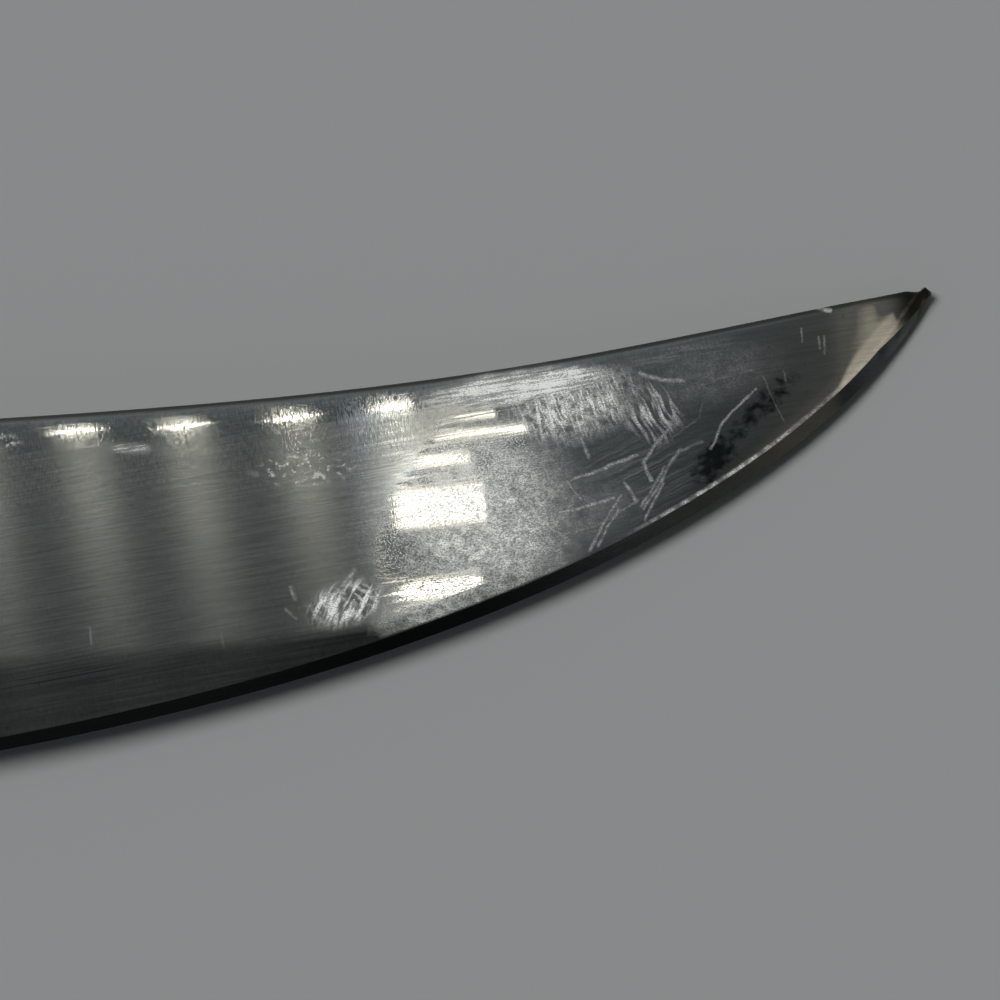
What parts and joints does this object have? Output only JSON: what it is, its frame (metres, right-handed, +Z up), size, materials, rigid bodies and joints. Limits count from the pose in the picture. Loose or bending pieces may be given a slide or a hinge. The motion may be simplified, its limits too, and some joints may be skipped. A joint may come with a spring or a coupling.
{
  "type": "steak knife",
  "caption": "Steak knife with an upswept plain-edged steel blade, a full tang and wooden handle scales held by brass rivets, lying on its side.",
  "frame": {"origin": "on the surface that the knife lies on, under the middle of the knife's box", "axes": "+X from the butt to the tip, +Y from the edge towards the spine, +Z up from the surface that the knife lies on"},
  "size_m": [0.232, 0.0286, 0.0146],
  "materials": {
    "steel": "buffed along its length and worn, with scuffs and scratches",
    "walnut": "oiled, satin",
    "brass": "sanded flush, satin"
  },
  "bodies": {
    "root": {"blade": "steel", "upper_scale": "walnut", "lower_scale": "walnut", "front_rivet_tube": "brass", "front_rivet_pin": "brass", "middle_rivet_tube": "brass", "middle_rivet_pin": "brass", "rear_rivet_tube": "brass", "rear_rivet_pin": "brass"}
  },
  "joints": []
}
